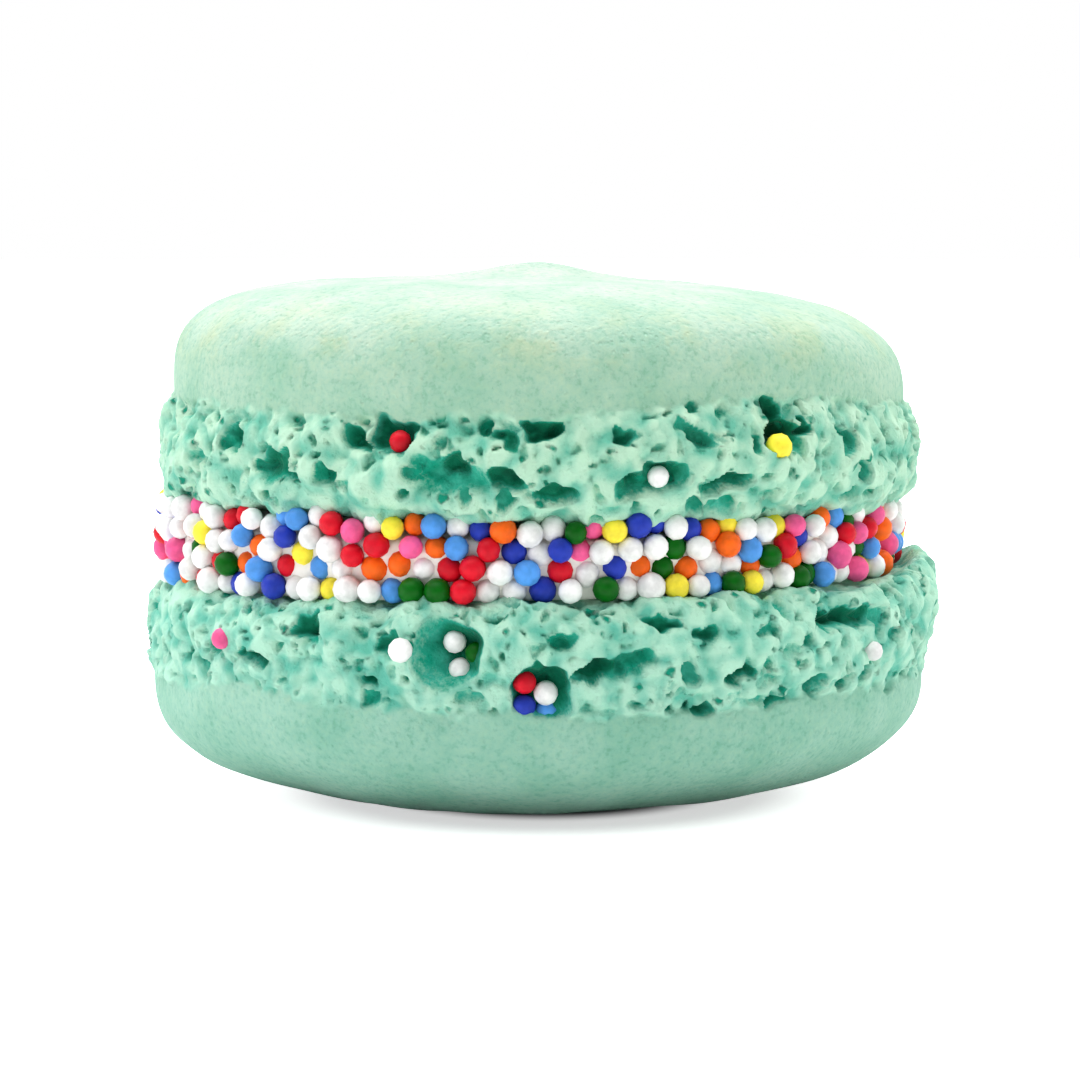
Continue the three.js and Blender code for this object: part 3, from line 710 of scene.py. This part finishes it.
def grain_group():
    """Shader group for the baked surface's grain: a fine height made of soft noise and tiny pits, a broad
    mottle mask and a fine speckle mask, all from object coordinates."""
    group = bpy.data.node_groups.new("meringue grain", "ShaderNodeTree")
    for name, start in (("Grain size", 0.35), ("Mottle size", 3.0)):
        socket = group.interface.new_socket(name, in_out="INPUT", socket_type="NodeSocketFloat")
        socket.default_value = start
    for name in ("Height", "Mottle", "Speckle"):
        group.interface.new_socket(name, in_out="OUTPUT", socket_type="NodeSocketFloat")
    inside = group.nodes.new("NodeGroupInput")
    outside = group.nodes.new("NodeGroupOutput")
    place = group.nodes.new("ShaderNodeTexCoord")
    link = group.links.new

    def scale_of(socket):
        made = node(group, "ShaderNodeMath", operation="DIVIDE")
        made.inputs[0].default_value = 1.0 / MM
        link(socket, made.inputs[1])
        return made.outputs[0]

    grain_scale = scale_of(inside.outputs["Grain size"])
    mottle_scale = scale_of(inside.outputs["Mottle size"])
    fine = node(group, "ShaderNodeTexNoise", Detail=4.0, Roughness=0.6)
    pits = node(group, "ShaderNodeTexVoronoi", feature="F1")
    broad = node(group, "ShaderNodeTexNoise", Detail=5.0, Roughness=0.55)
    for texture, scale in ((fine, grain_scale), (pits, grain_scale), (broad, mottle_scale)):
        link(place.outputs["Object"], texture.inputs["Vector"])
        link(scale, texture.inputs["Scale"])
    joined = node(group, "ShaderNodeMath", operation="MULTIPLY_ADD")
    link(range_node(group, pits.outputs["Distance"], 0.05, 0.35), joined.inputs[0])
    joined.inputs[1].default_value = 0.35
    link(fine.outputs["Fac"], joined.inputs[2])
    link(joined.outputs[0], outside.inputs["Height"])
    link(broad.outputs["Fac"], outside.inputs["Mottle"])
    link(fine.outputs["Fac"], outside.inputs["Speckle"])
    return group


def pits_group():
    """Shader group for small open bubbles: the mask of round pits of random size, one in about every second
    cell of a cell pattern whose places are stirred by noise, from object coordinates."""
    group = bpy.data.node_groups.new("small pits", "ShaderNodeTree")
    for name, start in (("Cell size", 1.0), ("Stirring", 0.3)):
        socket = group.interface.new_socket(name, in_out="INPUT", socket_type="NodeSocketFloat")
        socket.default_value = start
    group.interface.new_socket("Mask", in_out="OUTPUT", socket_type="NodeSocketFloat")
    inside = group.nodes.new("NodeGroupInput")
    outside = group.nodes.new("NodeGroupOutput")
    link = group.links.new
    place = group.nodes.new("ShaderNodeTexCoord")
    scale = node(group, "ShaderNodeMath", operation="DIVIDE")
    scale.inputs[0].default_value = 1.0 / MM
    link(inside.outputs["Cell size"], scale.inputs[1])
    scaled = node(group, "ShaderNodeVectorMath", operation="SCALE")
    link(place.outputs["Object"], scaled.inputs[0])
    link(scale.outputs[0], scaled.inputs["Scale"])
    stir = node(group, "ShaderNodeTexNoise", Scale=1.7, Detail=2.0)
    link(scaled.outputs[0], stir.inputs["Vector"])
    strength = node(group, "ShaderNodeVectorMath", operation="SCALE")
    link(stir.outputs["Color"], strength.inputs[0])
    link(inside.outputs["Stirring"], strength.inputs["Scale"])
    moved = node(group, "ShaderNodeVectorMath", operation="ADD")
    link(scaled.outputs[0], moved.inputs[0])
    link(strength.outputs[0], moved.inputs[1])
    cells = node(group, "ShaderNodeTexVoronoi", feature="F1", Scale=1.0)
    link(moved.outputs[0], cells.inputs["Vector"])
    draw = node(group, "ShaderNodeSeparateColor")
    link(cells.outputs["Color"], draw.inputs[0])
    within = node(group, "ShaderNodeMath", operation="SUBTRACT")
    link(range_node(group, draw.outputs["Red"], 0.5, 1.0, 0.0, 0.42), within.inputs[0])
    link(cells.outputs["Distance"], within.inputs[1])
    link(range_node(group, within.outputs[0], -0.04, 0.22, smooth=True), outside.inputs["Mask"])
    return group


def meringue_material(
    name, grain, pits, cap_light, cap_dark, foot_pale_highlit, foot_dark_shaded, recess_shade_pale, recess_shade_deep, hollow_shade, deepest_shade
):
    """Baked almond meringue. The cap is mottled between two mints and tinted by height: greener and bluer low
    down, paler at the top of the upper cap as a painted highlight. The foot is mottled between two brighter
    ones, with a painted highlight on its ridges and painted shade in its creases. A pore is painted in
    shade, turning teal and then dark green as it gets deeper, and small pits are painted dark."""
    material, tree, link, shader, place = new_material(name)
    pore = node(tree, "ShaderNodeAttribute", attribute_name="pore_painted_shade")
    foot = node(tree, "ShaderNodeAttribute", attribute_name="foot_share")
    ridge_highlight = node(tree, "ShaderNodeAttribute", attribute_name="ridge_highlight")

    def grained(grain_size, mottle_size):
        made = tree.nodes.new("ShaderNodeGroup")
        made.node_tree = grain
        made.inputs["Grain size"].default_value = grain_size
        made.inputs["Mottle size"].default_value = mottle_size
        return made

    def ramp(socket, stops):
        made = tree.nodes.new("ShaderNodeValToRGB")
        elements = made.color_ramp.elements
        while len(elements) < len(stops):
            elements.new(0.5)
        for element, (position, colour) in zip(elements, stops):
            element.position = position
            element.color = (*colour, 1.0)
        link(socket, made.inputs["Fac"])
        return made.outputs["Color"]

    def mix(share, first, second, blend="MIX"):
        made = node(tree, "ShaderNodeMix", data_type="RGBA", blend_type=blend)
        for key, value in (("Factor", share), ("A", first), ("B", second)):
            socket = next(s for s in made.inputs if s.name == key and s.enabled)
            if isinstance(value, bpy.types.NodeSocket):
                link(value, socket)
            else:
                socket.default_value = value
        return next(s for s in made.outputs if s.enabled)

    def ranged(socket, *limits):
        return range_node(tree, socket, *limits)

    def maths(operation, first, second):
        made = node(tree, "ShaderNodeMath", operation=operation)
        for socket, value in zip(made.inputs, (first, second)):
            if isinstance(value, bpy.types.NodeSocket):
                link(value, socket)
            else:
                socket.default_value = value
        return made.outputs[0]

    baked = grained(0.4, 5.0)
    torn = grained(0.3, 1.5)
    cap_colour = ramp(baked.outputs["Mottle"], [(0.38, cap_dark), (0.6, cap_light)])
    flecks = [(0.32, (0.74, 0.86, 0.8)), (0.46, (0.97, 0.99, 0.98)), (0.68, (1.12, 1.05, 1.0))]
    speckled = ramp(baked.outputs["Speckle"], flecks)
    cap_colour = mix(1.0, cap_colour, speckled, "MULTIPLY")
    # The foot's colour: a painted highlight on its ridges and painted shade in its creases, mixed with random
    # mottle.
    mottled = maths("MULTIPLY", torn.outputs["Mottle"], 0.7)
    ridge_light_and_mottle = maths("ADD", maths("MULTIPLY", ridge_highlight.outputs["Fac"], 0.65), mottled)
    foot_colour = ramp(ridge_light_and_mottle, [(0.42, foot_dark_shaded), (0.95, foot_pale_highlit)])
    surface = mix(foot.outputs["Fac"], cap_colour, foot_colour)
    # Painted shade in the pores: teal, then dark green, then near black as the painted shade grows.
    depth = maths("ADD", pore.outputs["Fac"], ranged(torn.outputs["Speckle"], 0.3, 0.7, -0.12, 0.12))
    painted_recess_shade = ramp(torn.outputs["Mottle"], [(0.35, recess_shade_deep), (0.65, recess_shade_pale)])
    surface = mix(ranged(depth, 0.14, 0.5), surface, painted_recess_shade)
    surface = mix(ranged(depth, 0.5, 1.25), surface, (*hollow_shade, 1.0))
    surface = mix(ranged(depth, 1.6, 2.6), surface, (*deepest_shade, 1.0))
    hole = tree.nodes.new("ShaderNodeGroup")
    hole.node_tree = pits
    hole.inputs["Cell size"].default_value = 0.9
    hole.inputs["Stirring"].default_value = 0.6
    holes = maths("MULTIPLY", hole.outputs["Mask"], foot.outputs["Fac"])
    # Painted shade in the small pits, whose mask also dents the bump below.
    surface = mix(holes, surface, mix(0.4, (*recess_shade_deep, 1.0), (*hollow_shade, 1.0)))
    height = node(tree, "ShaderNodeSeparateXYZ")
    link(place.outputs["Object"], height.inputs[0])
    # Tint by height: greener and bluer towards the bottom, and paler and pinker at the top of the upper cap
    # as a painted highlight.
    height_tints_and_top_highlight = [
        (0.0, (0.84, 0.99, 1.05)),
        (0.3, (0.9, 1.03, 1.07)),
        (0.68, (0.97, 1.0, 1.0)),
        (0.85, (1.02, 0.99, 1.02)),
        (0.92, (1.13, 0.97, 1.06)),
        (1.0, (1.24, 0.955, 1.1)),
    ]
    height_tint_and_top_highlight = ramp(ranged(height.outputs["Z"], 0.003, 0.031), height_tints_and_top_highlight)
    surface = mix(1.0, surface, height_tint_and_top_highlight, "MULTIPLY")
    band = [(0.1, (0, 0, 0)), (0.5, (1, 1, 1)), (0.95, (0, 0, 0))]
    on_shoulder = ramp(ranged(height.outputs["Z"], 0.0248, 0.0308), band)
    patch = grained(0.8, 3.2)
    patchy = maths("MULTIPLY", on_shoulder, ranged(patch.outputs["Mottle"], 0.46, 0.62))
    surface = mix(patchy, surface, mix(1.0, surface, (1.06, 0.97, 0.86, 1.0), "MULTIPLY"))
    link(surface, shader.inputs["Base Color"])
    shader.inputs["Roughness"].default_value = 0.75
    shader.inputs["Specular IOR Level"].default_value = 0.16
    shader.inputs["Sheen Weight"].default_value = 0.06
    shader.inputs["Sheen Roughness"].default_value = 0.4
    dent = node(tree, "ShaderNodeBump", Strength=0.7, Distance=0.00022, invert=True)
    link(holes, dent.inputs["Height"])
    bump = node(tree, "ShaderNodeBump", Strength=0.8, Distance=0.00014)
    link(mix(foot.outputs["Fac"], baked.outputs["Height"], torn.outputs["Height"]), bump.inputs["Height"])
    link(dent.outputs["Normal"], bump.inputs["Normal"])
    link(bump.outputs["Normal"], shader.inputs["Normal"])
    return material


def candy_material(name, colour):
    """A sugar ball's satin coat: its colour varies a little from ball to ball and in faint mottles."""
    material, tree, link, shader, place = new_material(name)
    mottle = node(tree, "ShaderNodeTexNoise", Scale=1800.0, Detail=3.0)
    link(place.outputs["Object"], mottle.inputs["Vector"])
    tint = node(tree, "ShaderNodeAttribute", attribute_name="tint")
    change = node(tree, "ShaderNodeMath", operation="MULTIPLY_ADD")
    link(tint.outputs["Fac"], change.inputs[0])
    change.inputs[1].default_value = 0.12
    link(mottle.outputs["Fac"], change.inputs[2])
    shade = node(tree, "ShaderNodeHueSaturation", Color=(*colour, 1.0))
    link(range_node(tree, change.outputs[0], 0.3, 0.7, 0.82, 1.12), shade.inputs["Value"])
    link(shade.outputs["Color"], shader.inputs["Base Color"])
    shader.inputs["Roughness"].default_value = 0.42
    shader.inputs["Specular IOR Level"].default_value = 0.15
    bump = node(tree, "ShaderNodeBump", Strength=0.25, Distance=0.00003)
    link(mottle.outputs["Fac"], bump.inputs["Height"])
    link(bump.outputs["Normal"], shader.inputs["Normal"])
    return material


def cream_material():
    """Smooth warm white cream with a slight moist sheen and faint unevenness."""
    material, tree, link, shader, place = new_material("cream filling")
    mottle = node(tree, "ShaderNodeTexNoise", Scale=700.0, Detail=4.0)
    link(place.outputs["Object"], mottle.inputs["Vector"])
    ramp = tree.nodes.new("ShaderNodeValToRGB")
    ramp.color_ramp.elements[0].position = 0.3
    ramp.color_ramp.elements[0].color = (0.8, 0.79, 0.72, 1.0)
    ramp.color_ramp.elements[1].position = 0.7
    ramp.color_ramp.elements[1].color = (0.87, 0.86, 0.8, 1.0)
    link(mottle.outputs["Fac"], ramp.inputs["Fac"])
    link(ramp.outputs["Color"], shader.inputs["Base Color"])
    shader.inputs["Roughness"].default_value = 0.45
    bump = node(tree, "ShaderNodeBump", Strength=0.4, Distance=0.0001)
    link(mottle.outputs["Fac"], bump.inputs["Height"])
    link(bump.outputs["Normal"], shader.inputs["Normal"])
    return material


def set_camera():
    """The photograph's camera: it looks along +Y and a little down."""
    data = bpy.data.cameras.new("camera")
    data.lens = CAMERA_LENS
    data.sensor_width = 36.0
    data.clip_start, data.clip_end = 0.01, 20.0
    camera = bpy.data.objects.new("camera", data)
    camera.location = [v * MM for v in CAMERA_PLACE]
    camera.rotation_euler = (math.pi / 2 + CAMERA_PITCH, 0.0, 0.0)
    bpy.context.scene.collection.objects.link(camera)
    bpy.context.scene.camera = camera


def area_light(name, place, target, size, power, colour=(1.0, 1.0, 1.0)):
    """A soft square light at a place in mm, facing a target."""
    data = bpy.data.lights.new(name, "AREA")
    data.shape = "SQUARE"
    data.size = size * MM
    data.energy = power
    data.color = colour
    light = bpy.data.objects.new(name, data)
    light.location = [v * MM for v in place]
    way = np.array(target, float) - np.array(place, float)
    flat = math.hypot(way[0], way[1])
    light.rotation_euler = (math.atan2(flat, -way[2]), 0.0, math.atan2(-way[0], way[1]))
    bpy.context.scene.collection.objects.link(light)


def set_stage():
    """A white floor that glows outside the macaron's shadow, a white surround that is dimmer on the camera's
    side, a wide light from above and three soft ones from the front, left and right."""
    floor_mesh = bpy.data.meshes.new("floor")
    reach = 3.0
    floor_mesh.from_pydata(
        [(-reach, -reach, 0), (reach, -reach, 0), (reach, reach, 0), (-reach, reach, 0)], [], [(0, 1, 2, 3)]
    )
    white, tree, link, shader, place = new_material("white floor")
    shader.inputs["Base Color"].default_value = (0.85, 0.85, 0.85, 1.0)
    shader.inputs["Roughness"].default_value = 0.9
    shader.inputs["Specular IOR Level"].default_value = 0.1
    squeezed = node(tree, "ShaderNodeMapping", Scale=(1.2, 1.0, 1.0))
    link(place.outputs["Object"], squeezed.inputs["Vector"])
    away = node(tree, "ShaderNodeVectorMath", operation="LENGTH")
    link(squeezed.outputs["Vector"], away.inputs[0])
    both = node(tree, "ShaderNodeMath", operation="ADD")
    link(range_node(tree, away.outputs["Value"], 0.0098, 0.0135, 0.0, 0.6, smooth=True), both.inputs[0])
    link(range_node(tree, away.outputs["Value"], 0.015, 0.02, 0.0, 0.3, smooth=True), both.inputs[1])
    rays = tree.nodes.new("ShaderNodeLightPath")
    shown = node(tree, "ShaderNodeMath", operation="MULTIPLY")
    link(both.outputs[0], shown.inputs[0])
    link(rays.outputs["Is Camera Ray"], shown.inputs[1])
    link(shown.outputs[0], shader.inputs["Emission Color"])
    shader.inputs["Emission Strength"].default_value = 1.0
    floor_mesh.materials.append(white)
    floor = bpy.data.objects.new("floor", floor_mesh)
    bpy.context.scene.collection.objects.link(floor)

    world = bpy.data.worlds.new("white surround")
    bpy.context.scene.world = world
    world.use_nodes = True
    tree = world.node_tree
    background = tree.nodes["Background"]
    place = tree.nodes.new("ShaderNodeTexCoord")
    parts = tree.nodes.new("ShaderNodeSeparateXYZ")
    tree.links.new(place.outputs["Generated"], parts.inputs["Vector"])
    level = range_node(tree, parts.outputs["Y"], -1.0, 0.3, 0.1, 0.95)
    rays = tree.nodes.new("ShaderNodeLightPath")
    seen = node(tree, "ShaderNodeMath", operation="MAXIMUM")
    tree.links.new(rays.outputs["Is Camera Ray"], seen.inputs[0])
    tree.links.new(level, seen.inputs[1])
    tree.links.new(seen.outputs[0], background.inputs["Strength"])
    background.inputs["Color"].default_value = (1.0, 1.0, 1.0, 1.0)

    sun = bpy.data.lights.new("top light", "SUN")
    sun.energy = 4.8
    sun.angle = math.radians(80.0)
    overhead = bpy.data.objects.new("top light", sun)
    overhead.rotation_euler = (math.radians(-12.0), math.radians(-6.0), 0.0)
    bpy.context.scene.collection.objects.link(overhead)
    area_light("front light", (-200, -400, 300), (0, 0, 18), 300, 0.16, (0.86, 0.97, 1.0))
    area_light("left light", (-450, -160, 60), (0, 0, 18), 200, 0.36, (0.85, 0.72, 1.0))
    area_light("right light", (450, -160, 60), (0, 0, 18), 200, 0.24, (0.95, 0.95, 1.0))


def place_piece(piece, node_name=None):
    """Binds a finished piece to the macaron."""
    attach(piece, "root")
    if node_name:
        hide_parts(node_name)


set_camera()
set_stage()
bpy.context.scene.view_settings.view_transform = "Standard"

grain = grain_group()
meringue = meringue_material(
    "mint meringue",
    grain,
    pits_group(),
    cap_light=(0.34, 0.53, 0.395),
    cap_dark=(0.255, 0.47, 0.335),
    # Foot colours between which the painted ridge highlight and crease shade run, with random mottle.
    foot_pale_highlit=(0.44, 0.67, 0.49),
    foot_dark_shaded=(0.13, 0.45, 0.32),
    # Painted shade colours of the pores and small pits.
    recess_shade_pale=(0.06, 0.42, 0.3),
    recess_shade_deep=(0.002, 0.29, 0.18),
    hollow_shade=(0.0, 0.165, 0.085),
    deepest_shade=(0.0, 0.05, 0.022),
)
for shell, cavities in ((UPPER, UPPER_CAVITIES), (LOWER, LOWER_CAVITIES)):
    points, faces, values = shell_surface(shell, cavities)
    piece = make_piece(shell["name"] + "_meringue", points, faces, meringue, values)
    place_piece(piece, shell["name"])

points, faces = cream_surface()
place_piece(make_piece("cream", points, faces, cream_material()), "filling")

along, up, out, diameter = bead_places()
turn = along / CREAM_RADIUS
radius = CREAM_RADIUS + out
centres = np.stack(
    [
        CREAM_CENTRE_X + AXIS_X + radius * np.cos(turn),
        radius * np.sin(turn),
        filling_low(CREAM_CENTRE_X + CREAM_RADIUS * np.cos(turn)) + up,
    ],
    axis=1,
)
shares = np.array([share for _, share in NONPAREILS.values()])
names = list(NONPAREILS)
colour_of = np.random.default_rng(COLOUR_SEED).choice(len(names), size=BEAD_COUNT, p=shares / shares.sum())
strays = np.concatenate([stray_places(UPPER, UPPER_STRAYS), stray_places(LOWER, LOWER_STRAYS)])
stray_diameters = [stray[3] for stray in UPPER_STRAYS + LOWER_STRAYS]
stray_colours = [names.index(stray[4]) for stray in UPPER_STRAYS + LOWER_STRAYS]
centres = np.concatenate([centres, strays])
diameter = np.concatenate([diameter, stray_diameters])
colour_of = np.concatenate([colour_of, stray_colours])
for k, name in enumerate(names):
    chosen = colour_of == k
    points, faces, tint = many_balls(centres[chosen], diameter[chosen], TINT_SEED + k)
    material = candy_material(name.replace("_", " ") + " sugar", NONPAREILS[name][0])
    piece = make_piece(name + "_nonpareils", points, faces, material, {"tint": tint})
    place_piece(piece, "filling")
